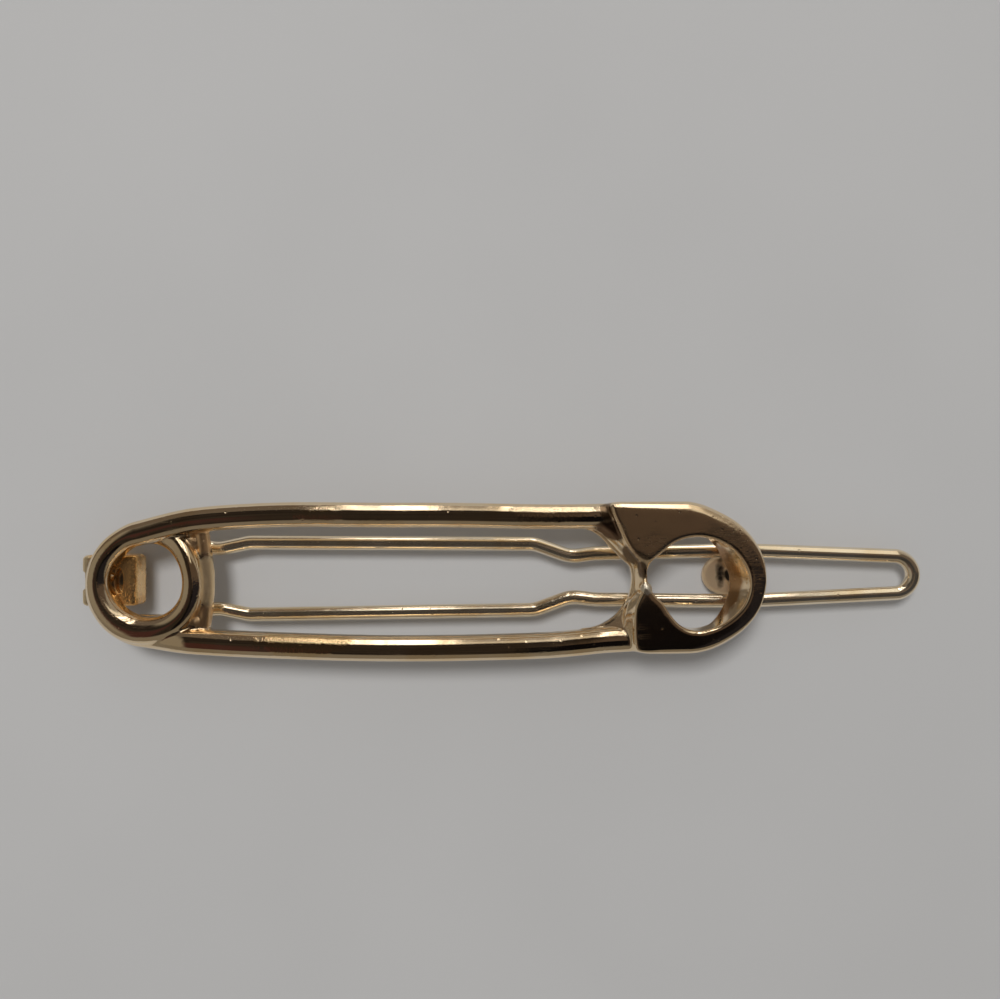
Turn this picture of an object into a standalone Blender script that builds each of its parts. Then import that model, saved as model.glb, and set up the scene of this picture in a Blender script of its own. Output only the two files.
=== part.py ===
"""Hair clip in the shape of a safety pin: a cast front with a coil and a clasp, over a tongue of spring wire.

The clip lies on its hinge lug and its catch stud with the front face up. X runs along it, from the hinge to
the tip of the tongue, Y runs across it and Z points up. The origin is on the surface that it lies on, under
the middle of its bounding box. Lengths are in metres and angles in degrees.
"""

import math

import bmesh
import bpy
from mathutils import Vector

# Overall
OVERALL_LENGTH = 0.0829
FRAME_LENGTH = 0.0651
LUG_PROUD = 0.00115
SEAT_GAP = 0.0003
CUT_OVERRUN = 0.001

# Spring wire of the tongue
WIRE_DIAMETER = 0.0014
WIRE_SIDES_RESOLUTION = 4
WIRE_BEND_RADIUS = 0.0034
WIRE_END_BEND_RADIUS = 0.0013
WIRE_END_DEPTH = 0.0019
BORE_CLEARANCE = 0.00008
HAIR_GAP = 0.00145

# Tongue, as half gaps between the centre lines of its legs and places along it
LEG_LUG_GAP = 0.0010
FLARE_LENGTH = 0.0061
PINCH_HALF = 0.0029
PINCH_BEHIND_RING = 0.0004
BELLY_HALF = 0.0036
BELLY_FROM_PINCH = 0.0034
SHOULDER_HALF = 0.0033
SHOULDER_TO_KINK = 0.0036
KINK_HALF = 0.0020
KINK_BEFORE_NECK = 0.0070
THROAT_HALF = 0.0023
THROAT_FROM_KINK = 0.0024
LEG_POST_GAP = 0.00045
TIP_HALF = 0.00186

# Bars and coil of the front
BAR_WIDTH = 0.0024
BAR_HEIGHT = 0.0024
BAR_CROWN_SHARE = 0.88
BAR_HALF_SPREAD = 0.0060
BAR_END_IN_CLASP = 0.0024
RING_RADIUS = 0.0047
RING_WIDTH = 0.0023
TUCK_DROP = 0.0011
RISE_DROP = 0.0009
RISE_LENGTH = 0.0055
BLEND_INSET = 0.0001

# Centre lines of the bars: how far along from the coil's middle to their ends, and how far out, in shares
TOP_BAR_SHARES = (
    (0.052, 0.915),
    (0.104, 0.985),
    (0.19, 1.035),
    (0.304, 1.06),
    (0.465, 1.045),
    (0.626, 1.035),
    (0.76, 1.01),
    (0.855, 1.0),
    (1.0, 1.015),
)
LOW_BAR_SHARES = (
    (0.061, 0.95),
    (0.142, 1.0),
    (0.209, 1.03),
    (0.304, 1.063),
    (0.408, 1.093),
    (0.522, 1.107),
    (0.664, 1.102),
    (0.807, 1.075),
    (0.883, 1.03),
    (0.93, 0.995),
    (1.0, 0.967),
)

# Coil at angles from its +X side: its radius and its width, in shares of theirs
COIL_SHARES = (
    (100, 1.005, 0.96),
    (120, 1.005, 0.92),
    (137, 1.005, 0.95),
    (155, 1.02, 0.93),
    (180, 1.035, 0.93),
    (210, 1.04, 1.05),
    (235, 1.045, 1.15),
    (255, 1.03, 1.15),
    (270, 1.01, 1.12),
    (300, 1.0, 1.05),
    (330, 0.965, 0.93),
    (360, 0.92, 0.84),
    (390, 0.925, 0.84),
    (420, 0.96, 0.9),
    (440, 0.975, 0.9),
    (455, 0.965, 0.85),
)

# Lower bar where it runs under the coil, as shares of the coil's radius at angles from its +X side
LOW_STRAND_SHARES = (
    (165, 0.98),
    (180, 1.07),
    (197, 1.125),
    (215, 1.125),
    (240, 1.13),
    (258, 1.13),
)

# Low link behind the coil's right side, as shares of the coil's radius forward and to the side
LINK_WIDTH = 0.0012
LINK_HEIGHT = 0.0013
LINK_SHARES = ((1.03, 1.2), (1.09, 0.68), (1.14, 0.0), (1.12, -0.64), (1.07, -1.24))

# Clasp, with its outline's left end as shares of its half width from the middle of its round end
CLASP_WIDTH = 0.0145
CLASP_HEIGHT = 0.0030
CLASP_EDGE_RADIUS = 0.0006
CLASP_EYE_EDGE_RADIUS = 0.0003
CLASP_ROUND_WIDTH_SHARE = 0.33
CLASP_DRAFT = 0.0010
NECK_DIP = 0.0007
EYE_LEDGE = 0.0013
CLASP_OFFSET = 0.00014
CLASP_END_SHARES = (
    (-90, 1.0),
    (-60, 0.975),
    (-42, 0.985),
    (-20, 1.0),
    (15, 1.0),
    (45, 0.968),
    (65, 0.955),
    (80, 0.98),
    (90, 1.0),
)
CLASP_EDGE_SHARES = (
    (-0.72, 1.0),
    (-0.95, 0.997),
    (-1.045, 0.965),
    (-1.04, 0.88),
    (-0.965, 0.72),
    (-0.875, 0.51),
    (-0.765, 0.33),
    (-0.66, 0.2),
    (-0.62, 0.06),
    (-0.618, -0.06),
    (-0.64, -0.18),
    (-0.695, -0.3),
    (-0.735, -0.42),
    (-0.745, -0.62),
    (-0.74, -0.84),
    (-0.715, -0.945),
    (-0.63, -0.985),
    (-0.45, -1.0),
)

# Eye of the clasp, as shares of its radius at angles from the +X side
EYE_RADIUS = 0.00475
EYE_FORWARD = 0.0006
EYE_DROP = 0.00025
EYE_RADIUS_SHARES = (
    (0, 1.05),
    (30, 0.985),
    (62, 0.915),
    (92, 0.89),
    (115, 0.885),
    (140, 0.895),
    (158, 0.98),
    (180, 0.97),
    (196, 0.885),
    (212, 0.8),
    (232, 0.845),
    (252, 0.94),
    (270, 0.985),
    (292, 0.98),
    (312, 0.995),
    (338, 1.045),
)

# Round the clasp, at angles from the eye's +X side: shares of its edge radius, of the draft at the foot of its
# outer wall, of the dip of its neck and of the ledge at the foot of the eye's wall
CLASP_TURN_SHARES = (
    (0, 0.5, 0.0, 0.0, 1.0),
    (32, 1.0, 0.0, 0.0, 0.8),
    (52, 1.5, 0.0, 0.0, 0.35),
    (70, 1.8, 0.0, 0.0, 0.0),
    (95, 1.8, 0.0, 0.0, 0.0),
    (128, 1.4, 0.1, 0.0, 0.0),
    (142, 1.0, 0.2, 0.0, 0.0),
    (153, 0.8, 0.2, 0.0, 0.0),
    (163, 0.5, 0.15, 0.6, 0.0),
    (171, 0.5, 0.1, 1.0, 0.0),
    (180, 0.5, 0.1, 0.6, 0.0),
    (188, 0.5, 0.2, 0.0, 0.0),
    (200, 0.4, 0.7, 0.0, 0.0),
    (212, 0.4, 1.0, 0.0, 0.0),
    (226, 0.5, 0.9, 0.0, 0.0),
    (236, 0.9, 0.3, 0.0, 0.0),
    (246, 1.2, 0.0, 0.0, 0.0),
    (290, 1.2, 0.0, 0.0, 0.0),
    (308, 1.0, 0.0, 0.0, 0.35),
    (330, 0.6, 0.0, 0.0, 0.8),
    (360, 0.5, 0.0, 0.0, 1.0),
)

# Strut between the bars, round the end of the long opening
STRUT_WIDTH = 0.0013
STRUT_LOW_HEIGHT = 0.0009
STRUT_HIGH_HEIGHT = 0.0024
OPENING_END_RADIUS = 0.00485

# Strut at angles round the end of the opening: shares of the opening's radius, of the height of the strut's
# crest and of its width that the crest is flat
STRUT_SHARES = (
    (-90, 1.0, 0.6, 0.08),
    (-45, 1.0, 0.7, 0.08),
    (0, 1.0, 1.0, 0.1),
    (15, 0.985, 1.0, 0.16),
    (27, 0.89, 0.98, 0.3),
    (38, 0.85, 0.95, 0.4),
    (50, 0.85, 0.93, 0.4),
    (62, 0.9, 0.92, 0.35),
    (74, 0.95, 0.92, 0.3),
    (90, 1.0, 0.92, 0.3),
)

# Hinge lug
LUG_LENGTH = 0.0054
LUG_WIDTH = 0.0050
LUG_FOOT_RADIUS = 0.0024
LUG_TOP_RADIUS = 0.0004
LUG_NOTCH_WIDTH = 0.0018
LUG_NOTCH_REACH = 0.0006
LUG_SLOT_LENGTH = 0.0008
LUG_SLOT_WIDTH = 0.0024
LUG_SLOT_FORWARD = 0.0010
LUG_CUT_DEPTH = 0.0008

# Catch stud
STUD_HEAD_LENGTH = 0.0048
STUD_HEAD_WIDTH = 0.0041
STUD_HEAD_HEIGHT = 0.0015
STUD_POST_RADIUS = 0.0014
STUD_POST_INSET = 0.0001
STUD_FOOT_SHARE = 0.55
STUD_FILLET = 0.00025
WIRE_STUD_GAP = 0.00025

# Facets
CROWN_STEPS = 6
RING_STEPS = 56
BAR_STEPS = 4
LOW_STRAND_STEPS = 14
STRUT_STEPS = 20
ROUND_END_STEPS = 26
OUTLINE_STEPS = 3
EDGE_STEPS = 3
BORE_SIDES = 24
STUD_SIDES = 28
BEND_STEP = 12
SHARP_ANGLE = 35

# Places that follow from the sizes above
WIRE_RADIUS = WIRE_DIAMETER / 2
WIRE_Z = STUD_HEAD_HEIGHT + WIRE_STUD_GAP + WIRE_RADIUS
BACK_Z = WIRE_Z + WIRE_RADIUS + HAIR_GAP
LUG_X = -OVERALL_LENGTH / 2 + LUG_LENGTH / 2
TIP_X = OVERALL_LENGTH / 2
RING_OUTER_RADIUS = RING_RADIUS + BAR_WIDTH / 2
RING_X = -OVERALL_LENGTH / 2 + LUG_PROUD + RING_OUTER_RADIUS
RING_CENTRE = Vector((RING_X, 0.0))
CLASP_HALF = CLASP_WIDTH / 2
CLASP_END_X = RING_X - RING_OUTER_RADIUS + FRAME_LENGTH
CLASP_X = CLASP_END_X - CLASP_HALF
EYE_X = CLASP_X + EYE_FORWARD
BAR_END_X = CLASP_X - CLASP_HALF + BAR_END_IN_CLASP
POST_X = CLASP_END_X - STUD_POST_INSET - STUD_POST_RADIUS

# Angles round the coil, from its +X side: where the bars leave it and how far its turn goes
TOP_BAR_ANGLE = 100
BLEND_ANGLE = 24
RING_START_ANGLE = 106
RING_TURN_ANGLE = 349
TUCK_ANGLE = 80

GOLD = (0.80, 0.65, 0.42, 1.0)
WIRE_GOLD = (0.76, 0.60, 0.36, 1.0)


def clear_scene():
    """Empties the scene and its leftover meshes, curves and materials."""
    for obj in list(bpy.data.objects):
        bpy.data.objects.remove(obj, do_unlink=True)
    for store in (bpy.data.meshes, bpy.data.curves, bpy.data.materials):
        for block in list(store):
            store.remove(block)


def metal(name, colour, roughness):
    """A plated metal finish."""
    material = bpy.data.materials.new(name)
    material.use_nodes = True
    shader = material.node_tree.nodes["Principled BSDF"]
    shader.inputs["Base Color"].default_value = colour
    shader.inputs["Metallic"].default_value = 1.0
    shader.inputs["Roughness"].default_value = roughness
    return material


def add_object(name, data, material=None, cutter=False):
    """Links an object for a mesh or curve; a cutter or a joined piece shows as wire and isn't rendered."""
    obj = bpy.data.objects.new(name, data)
    bpy.context.scene.collection.objects.link(obj)
    if material:
        data.materials.append(material)
    if cutter:
        obj.hide_render = True
        obj.display_type = "WIRE"
    return obj


def mesh_from(name, bm):
    """A smooth-shaded mesh with its faces pointing out."""
    bmesh.ops.recalc_face_normals(bm, faces=bm.faces)
    mesh = bpy.data.meshes.new(name)
    bm.to_mesh(mesh)
    bm.free()
    mesh.shade_smooth()
    mesh.set_sharp_from_angle(angle=math.radians(SHARP_ANGLE))
    return mesh


def smooth(value):
    """Eases from 0 to 1 as the value goes from 0 to 1."""
    value = min(max(value, 0.0), 1.0)
    return value * value * (3 - 2 * value)


def polar(centre, radius, angle):
    """The point at an angle in degrees round a centre."""
    turn = math.radians(angle)
    return centre + Vector((math.cos(turn), math.sin(turn))) * radius


def share_at(table, place, column=1):
    """The share in a column of a table at a place between its rows, on a smooth curve through the rows."""
    places = [row[0] for row in table]
    values = [row[column] for row in table]
    last = len(table) - 1
    row = 0
    while row < last - 1 and place > places[row + 1]:
        row += 1
    span = places[row + 1] - places[row]
    slopes = []
    for k in (row, row + 1):
        low, high = max(k - 1, 0), min(k + 1, last)
        slopes.append((values[high] - values[low]) / (places[high] - places[low]) * span)
    t = (place - places[row]) / span
    rise = values[row + 1] - values[row]
    return (
        values[row]
        + slopes[0] * t
        + (3 * rise - 2 * slopes[0] - slopes[1]) * t * t
        + (slopes[0] + slopes[1] - 2 * rise) * t**3
    )


def spline_through(values, steps, closed=False):
    """Points of a smooth curve through the given ones, which may be vectors or pairs of numbers."""
    points = [Vector(value) for value in values]
    count = len(points)
    found = []
    for index in range(count if closed else count - 1):
        if closed:
            before, here, there, after = (points[(index + k) % count] for k in (-1, 0, 1, 2))
        else:
            before, here = points[max(index - 1, 0)], points[index]
            there, after = points[index + 1], points[min(index + 2, count - 1)]
        for step in range(steps):
            t = step / steps
            found.append(
                here
                + (there - before) * (t / 2)
                + (before * 2 - here * 5 + there * 4 - after) * (t * t / 2)
                + (here * 3 - before - there * 3 + after) * (t**3 / 2)
            )
    if not closed:
        found.append(points[-1])
    return found


def bar_section(width, crest, back):
    """Across and height pairs of a bar's section: a flat back, straight sides and a round crown."""
    half = width / 2
    crown = min(half, crest - back) * BAR_CROWN_SHARE
    pairs = [(-half, back)]
    for step in range(CROWN_STEPS + 1):
        turn = math.pi * (1 - step / CROWN_STEPS)
        pairs.append((half * math.cos(turn), crest - crown + crown * math.sin(turn)))
    pairs.append((half, back))
    return pairs


def sweep(name, path, sections):
    """A closed solid with one section at each point of a path that lies in the XY plane."""
    bm = bmesh.new()
    rings = []
    for index, (point, section) in enumerate(zip(path, sections)):
        along = (path[min(index + 1, len(path) - 1)] - path[max(index - 1, 0)]).normalized()
        across = Vector((-along.y, along.x))
        rings.append(
            [bm.verts.new((*(point + across * side), height)) for side, height in section]
        )
    for first, second in zip(rings, rings[1:]):
        for k in range(len(first)):
            nxt = (k + 1) % len(first)
            bm.faces.new((first[k], first[nxt], second[nxt], second[k]))
    bm.faces.new(rings[0])
    bm.faces.new(rings[-1])
    return mesh_from(name, bm)


def ring_stack(name, rings):
    """A closed solid through rings of as many points each, in order from one end to the other."""
    bm = bmesh.new()
    loops = [[bm.verts.new(point) for point in ring] for ring in rings]
    for first, second in zip(loops, loops[1:]):
        for k in range(len(first)):
            nxt = (k + 1) % len(first)
            bm.faces.new((first[k], first[nxt], second[nxt], second[k]))
    bm.faces.new(loops[0])
    bm.faces.new(loops[-1])
    return mesh_from(name, bm)


def bar_middle(start, table, side):
    """The centre line of a bar, from the coil into the clasp. Side is 1 for the upper bar and -1 for the other."""
    run = BAR_END_X - RING_X
    places = [Vector((RING_X + run * along, side * BAR_HALF_SPREAD * out)) for along, out in table]
    return spline_through([start, *places], BAR_STEPS)


def coil_point(angle):
    """The coil's centre line at an angle."""
    return polar(RING_CENTRE, RING_RADIUS * share_at(COIL_SHARES, angle), angle)


def coil_width(angle):
    """The coil's width at an angle."""
    return RING_WIDTH * share_at(COIL_SHARES, angle, column=2)


def top_bar():
    """The upper bar, which runs on into the coil."""
    crest = BACK_Z + BAR_HEIGHT
    into = [coil_point(TOP_BAR_ANGLE + BLEND_ANGLE * (1 - step / CROWN_STEPS)) for step in range(CROWN_STEPS)]
    path = into + bar_middle(coil_point(TOP_BAR_ANGLE), TOP_BAR_SHARES, 1)
    sections = []
    for index in range(len(path)):
        inside = 1 - smooth(index / CROWN_STEPS)
        narrowed = coil_width(TOP_BAR_ANGLE + BLEND_ANGLE) - 2 * BLEND_INSET
        width = BAR_WIDTH + (narrowed - BAR_WIDTH) * inside
        sections.append(bar_section(width, crest - BLEND_INSET * inside, BACK_Z))
    return sweep("top_bar", path, sections)


def coil():
    """The coil: a turn from inside the upper bar, down the left and up the right to pass under that bar."""
    crest = BACK_Z + BAR_HEIGHT
    path, sections = [], []
    for step in range(RING_STEPS + 1):
        turned = RING_TURN_ANGLE * step / RING_STEPS
        angle = RING_START_ANGLE + turned
        tuck = smooth((turned - RING_TURN_ANGLE + TUCK_ANGLE) / TUCK_ANGLE)
        inset = BLEND_INSET * (1 - smooth(turned / BLEND_ANGLE) + tuck)
        path.append(coil_point(angle))
        sections.append(bar_section(coil_width(angle) - 2 * inset, crest - inset - TUCK_DROP * tuck, BACK_Z))
    return sweep("coil", path, sections)


def link():
    """The low link that shows behind the coil's right side and joins the bars."""
    path = spline_through([RING_CENTRE + Vector(share) * RING_RADIUS for share in LINK_SHARES], BAR_STEPS)
    return sweep("link", path, [bar_section(LINK_WIDTH, BACK_Z + LINK_HEIGHT, BACK_Z)] * len(path))


def low_bar():
    """The lower bar: it follows the coil's outer side from under it, leaves it and rises to full height."""
    crest = BACK_Z + BAR_HEIGHT
    first, last = LOW_STRAND_SHARES[0][0], LOW_STRAND_SHARES[-1][0]
    under = []
    for step in range(LOW_STRAND_STEPS + 1):
        angle = first + (last - first) * step / LOW_STRAND_STEPS
        under.append(polar(RING_CENTRE, RING_RADIUS * share_at(LOW_STRAND_SHARES, angle), angle))
    leaves_at = under.pop()
    path = under + bar_middle(leaves_at, LOW_BAR_SHARES, -1)
    sections = []
    for index, point in enumerate(path):
        away = (point - leaves_at).length if index > len(under) else 0.0
        width = BAR_WIDTH - 2 * BLEND_INSET * (1 - smooth(index / CROWN_STEPS))
        sections.append(bar_section(width, crest - RISE_DROP * (1 - smooth(away / RISE_LENGTH)), BACK_Z))
    return sweep("low_bar", path, sections)


def eye_radius(angle):
    """The eye's radius at an angle in degrees from the +X side."""
    rows = list(EYE_RADIUS_SHARES)
    before = (rows[-1][0] - 360, rows[-1][1])
    after = [(row[0] + 360, row[1]) for row in rows[:2]]
    return EYE_RADIUS * share_at([before, *rows, *after], angle % 360)


def clasp_outline():
    """The clasp's outer outline, anticlockwise from the lower end of its round end."""
    middle = Vector((CLASP_X, CLASP_OFFSET))
    outline = []
    for step in range(ROUND_END_STEPS):
        angle = -90 + 180 * step / ROUND_END_STEPS
        outline.append(polar(middle, CLASP_HALF * share_at(CLASP_END_SHARES, angle), angle))
    shares = [(0.0, 1.0), (-0.36, 1.0), *CLASP_EDGE_SHARES, (0.0, -1.0)]
    return outline + [middle + share * CLASP_HALF for share in spline_through(shares, OUTLINE_STEPS)[:-1]]


def clasp():
    """The raised clasp plate round its eye, with rounded edges on the front and a dip across its neck."""
    outline = clasp_outline()
    eye = Vector((EYE_X, -EYE_DROP))
    count = len(outline)
    rings = [[] for _ in range(2 * EDGE_STEPS + 4)]
    for index, point in enumerate(outline):
        ray = point - eye
        angle = math.degrees(math.atan2(ray.y, ray.x)) % 360
        edge, draft, dip, ledge = (max(share_at(CLASP_TURN_SHARES, angle, k), 0.0) for k in range(1, 5))
        along = (outline[(index + 1) % count] - outline[index - 1]).normalized()
        slant = max(abs(ray.normalized().cross(along)), 1 / math.sqrt(2))
        hole = eye + ray.normalized() * eye_radius(angle)
        most = (point - hole).length * CLASP_ROUND_WIDTH_SHARE
        front = BACK_Z + CLASP_HEIGHT - NECK_DIP * dip
        rings[0].append((point.x - CLASP_DRAFT * draft, point.y, BACK_Z))
        for step in range(EDGE_STEPS + 1):
            turn = math.radians(90 * step / EDGE_STEPS)
            for place, radius, inwards, ring in (
                (point, min(CLASP_EDGE_RADIUS * edge, most), 1, rings[1 + step]),
                (hole, min(CLASP_EYE_EDGE_RADIUS, most), -1, rings[-2 - step]),
            ):
                step_in = radius * (1 - math.cos(turn)) / slant * inwards
                ring.append((*(place - ray.normalized() * step_in), front - radius * (1 - math.sin(turn))))
        rings[-1].append((*(hole - ray.normalized() * EYE_LEDGE * ledge), BACK_Z))
    bm = bmesh.new()
    loops = [[bm.verts.new(point) for point in points] for points in rings]
    for first, second in zip(loops, loops[1:] + loops[:1]):
        for k in range(count):
            nxt = (k + 1) % count
            bm.faces.new((first[k], first[nxt], second[nxt], second[k]))
    return mesh_from("clasp", bm)


def strut():
    """The strut round the end of the long opening: its face slopes down to the opening from its crest."""
    waist_x = EYE_X - eye_radius(180)
    middle = Vector((waist_x - STRUT_WIDTH - OPENING_END_RADIUS, 0.0))
    first, last = STRUT_SHARES[0][0], STRUT_SHARES[-1][0]
    low = BACK_Z + STRUT_LOW_HEIGHT
    path, sections = [], []
    for step in range(STRUT_STEPS + 1):
        angle = first + (last - first) * step / STRUT_STEPS
        opening = OPENING_END_RADIUS * share_at(STRUT_SHARES, angle)
        high = BACK_Z + STRUT_HIGH_HEIGHT * share_at(STRUT_SHARES, angle, column=2)
        half = (OPENING_END_RADIUS + STRUT_WIDTH - opening) / 2
        crest = half * (2 * share_at(STRUT_SHARES, angle, column=3) - 1)
        path.append(polar(middle, opening + half, angle))
        sections.append([(half, BACK_Z), (half, low), (crest, high), (-half, high), (-half, BACK_Z)])
    return sweep("strut", path, sections)


def front_frame(material):
    """The cast front, in one piece: upper bar, coil, link, lower bar, strut and clasp."""
    frame = add_object("front_frame", clasp(), material)
    for mesh in (strut(), top_bar(), low_bar(), coil(), link()):
        joined = add_object(f"{mesh.name}_joined", mesh, cutter=True)
        union = frame.modifiers.new(f"join {mesh.name}", "BOOLEAN")
        union.operation = "UNION"
        union.solver = "EXACT"
        union.object = joined
    return frame


def rounded_corners(points, radii, closed=False):
    """A path with an arc at each corner. Points are pairs and radii has one value for each corner."""
    corners = [Vector(point) for point in points]
    count = len(corners)
    path = []
    for index, corner in enumerate(corners):
        if not closed and index in (0, count - 1):
            path.append(corner)
            continue
        back = (corners[index - 1] - corner).normalized()
        ahead = (corners[(index + 1) % count] - corner).normalized()
        turn = math.pi - back.angle(ahead)
        reach = radii[index] * math.tan(turn / 2)
        middle = corner + (back + ahead).normalized() * (radii[index] / math.cos(turn / 2))
        first, last = corner + back * reach - middle, corner + ahead * reach - middle
        steps = max(2, math.ceil(math.degrees(turn) / BEND_STEP))
        for step in range(steps + 1):
            share = step / steps
            weight_last = math.sin(turn * share) / math.sin(turn)
            weight_first = math.sin(turn * (1 - share)) / math.sin(turn)
            path.append(middle + first * weight_first + last * weight_last)
    return path


def tongue_leg():
    """The centre line of the upper leg, from its end inside the lug to where the tip's bend starts."""
    flare = LUG_WIDTH / 2 + LEG_LUG_GAP + WIRE_RADIUS
    pinch_x = RING_X + RING_OUTER_RADIUS - PINCH_BEHIND_RING
    kink_x = EYE_X - eye_radius(180) - KINK_BEFORE_NECK
    points = [
        (LUG_X, LUG_WIDTH / 2 - WIRE_END_DEPTH),
        (LUG_X, flare),
        (LUG_X + FLARE_LENGTH, flare),
        (pinch_x, PINCH_HALF),
        (pinch_x + BELLY_FROM_PINCH, BELLY_HALF),
        (kink_x - SHOULDER_TO_KINK, SHOULDER_HALF),
        (kink_x, KINK_HALF),
        (kink_x + THROAT_FROM_KINK, THROAT_HALF),
        (POST_X, STUD_POST_RADIUS + LEG_POST_GAP + WIRE_RADIUS),
        (TIP_X - WIRE_RADIUS - TIP_HALF, TIP_HALF),
    ]
    radii = [WIRE_BEND_RADIUS] * len(points)
    radii[1] = WIRE_END_BEND_RADIUS
    return rounded_corners(points, radii)


def tongue_wire(material):
    """The tongue: one spring wire, its ends turned in to the lug and its far end a round bend."""
    leg = tongue_leg()
    bend_centre = Vector((TIP_X - WIRE_RADIUS - TIP_HALF, 0.0))
    steps = round(180 / BEND_STEP)
    bend = [polar(bend_centre, TIP_HALF, 90 - 180 * step / steps) for step in range(1, steps)]
    route = leg + bend + [Vector((point.x, -point.y)) for point in reversed(leg)]
    curve = bpy.data.curves.new("tongue_wire", "CURVE")
    curve.dimensions = "3D"
    curve.bevel_depth = WIRE_RADIUS
    curve.bevel_resolution = WIRE_SIDES_RESOLUTION
    curve.use_fill_caps = True
    spline = curve.splines.new("POLY")
    spline.points.add(len(route) - 1)
    for target, point in zip(spline.points, route):
        target.co = (point.x - LUG_X, point.y, 0.0, 1.0)
    wire = add_object("tongue_wire", curve, material)
    wire.location = (LUG_X, 0.0, WIRE_Z)
    return wire


def upright_cutter(name, centre, long_radius, wide_radius):
    """An oval cutter through the top of the lug."""
    bm = bmesh.new()
    bmesh.ops.create_cone(
        bm, cap_ends=True, segments=BORE_SIDES, radius1=1.0, radius2=1.0, depth=2 * LUG_CUT_DEPTH
    )
    bmesh.ops.scale(bm, vec=(long_radius, wide_radius, 1.0), verts=bm.verts)
    cutter = add_object(name, mesh_from(name, bm), cutter=True)
    cutter.location = centre
    return cutter


def hinge_lug(material):
    """The lug under the coil: a block with a round foot, a bore for the wire's ends, a notch and a slot."""
    half = LUG_LENGTH / 2
    top = BACK_Z - SEAT_GAP
    corners = [(-half, 0.0), (half, 0.0), (half, top), (-half, top)]
    radii = [LUG_FOOT_RADIUS, LUG_FOOT_RADIUS, LUG_TOP_RADIUS, LUG_TOP_RADIUS]
    outline = rounded_corners(corners, radii, closed=True)
    rings = [
        [(LUG_X + point.x, side * LUG_WIDTH / 2, point.y) for point in outline] for side in (-1, 1)
    ]
    lug = add_object("hinge_lug", ring_stack("hinge_lug", rings), material)

    bore = bmesh.new()
    bmesh.ops.create_cone(
        bore,
        cap_ends=True,
        segments=BORE_SIDES,
        radius1=WIRE_RADIUS + BORE_CLEARANCE,
        radius2=WIRE_RADIUS + BORE_CLEARANCE,
        depth=LUG_WIDTH + 2 * CUT_OVERRUN,
    )
    bore_cutter = add_object("lug_bore", mesh_from("lug_bore", bore), cutter=True)
    bore_cutter.rotation_euler = (math.radians(90), 0.0, 0.0)
    bore_cutter.location = (LUG_X, 0.0, WIRE_Z)
    notch_cutter = upright_cutter(
        "lug_notch", (LUG_X - half, 0.0, top), LUG_NOTCH_REACH, LUG_NOTCH_WIDTH / 2
    )
    slot_cutter = upright_cutter(
        "lug_slot", (LUG_X + LUG_SLOT_FORWARD, 0.0, top), LUG_SLOT_LENGTH / 2, LUG_SLOT_WIDTH / 2
    )

    for cutter in (bore_cutter, notch_cutter, slot_cutter):
        cut = lug.modifiers.new(cutter.name, "BOOLEAN")
        cut.operation = "DIFFERENCE"
        cut.solver = "EXACT"
        cut.object = cutter
    return lug


def catch_stud(material):
    """The stud under the clasp's round end: a post with a wider head, long towards the hinge, under the legs."""
    head_x = POST_X + STUD_POST_RADIUS + STUD_POST_INSET - STUD_HEAD_LENGTH / 2
    half_length, half_width = STUD_HEAD_LENGTH / 2, STUD_HEAD_WIDTH / 2
    top = BACK_Z - SEAT_GAP
    under = STUD_HEAD_HEIGHT - STUD_FILLET
    levels = [(0.0, head_x, half_length * STUD_FOOT_SHARE, half_width * STUD_FOOT_SHARE)]
    dome = STUD_HEAD_HEIGHT / 2
    for step in range(1, EDGE_STEPS + 1):
        turn = math.radians(90 * step / EDGE_STEPS)
        share = STUD_FOOT_SHARE + (1 - STUD_FOOT_SHARE) * math.sin(turn)
        levels.append((dome * (1 - math.cos(turn)), head_x, half_length * share, half_width * share))
    levels.append((under, head_x, half_length, half_width))
    levels.append((STUD_HEAD_HEIGHT, head_x, half_length - STUD_FILLET, half_width - STUD_FILLET))
    for step in range(EDGE_STEPS + 1):
        turn = math.radians(90 * step / EDGE_STEPS)
        radius = STUD_POST_RADIUS - STUD_FILLET * math.sin(turn)
        levels.append((STUD_HEAD_HEIGHT + STUD_FILLET * (1 - math.cos(turn)), POST_X, radius, radius))
    levels.append((top - STUD_FILLET, POST_X, STUD_POST_RADIUS - STUD_FILLET, STUD_POST_RADIUS - STUD_FILLET))
    levels.append((top, POST_X, STUD_POST_RADIUS, STUD_POST_RADIUS))
    rings = []
    for height, middle, long_radius, wide_radius in levels:
        rings.append([])
        for side in range(STUD_SIDES):
            turn = 2 * math.pi * side / STUD_SIDES
            rings[-1].append((middle + long_radius * math.cos(turn), wide_radius * math.sin(turn), height))
    return add_object("catch_stud", ring_stack("catch_stud", rings), material)


def main():
    """Builds the clip: the front swings up about an empty on the hinge's axis, over the tongue."""
    clear_scene()
    cast_gold = metal("plated casting", GOLD, 0.12)
    wire_gold = metal("plated wire", WIRE_GOLD, 0.18)
    tongue_wire(wire_gold)
    hinge = add_object("hinge_axis", None)
    hinge.location = (LUG_X, 0.0, WIRE_Z)
    bpy.context.view_layer.update()
    for piece in (front_frame(cast_gold), hinge_lug(cast_gold), catch_stud(cast_gold)):
        piece.parent = hinge
        piece.matrix_parent_inverse = hinge.matrix_world.inverted()


main()
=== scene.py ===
"""Looks of a hair clip in the shape of a safety pin: champagne gold plating on a cast front, its lug
and stud, and a tongue of spring wire.

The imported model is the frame: X runs from the hinge to the tip, Y across and Z up. Lengths are in metres and
angles in degrees, unless a docstring says otherwise.
"""

from __future__ import annotations

import logging
import math
from collections.abc import Mapping, Sequence
from dataclasses import dataclass
from enum import Enum

import bmesh
import bpy
from mathutils import Matrix, Vector

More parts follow.
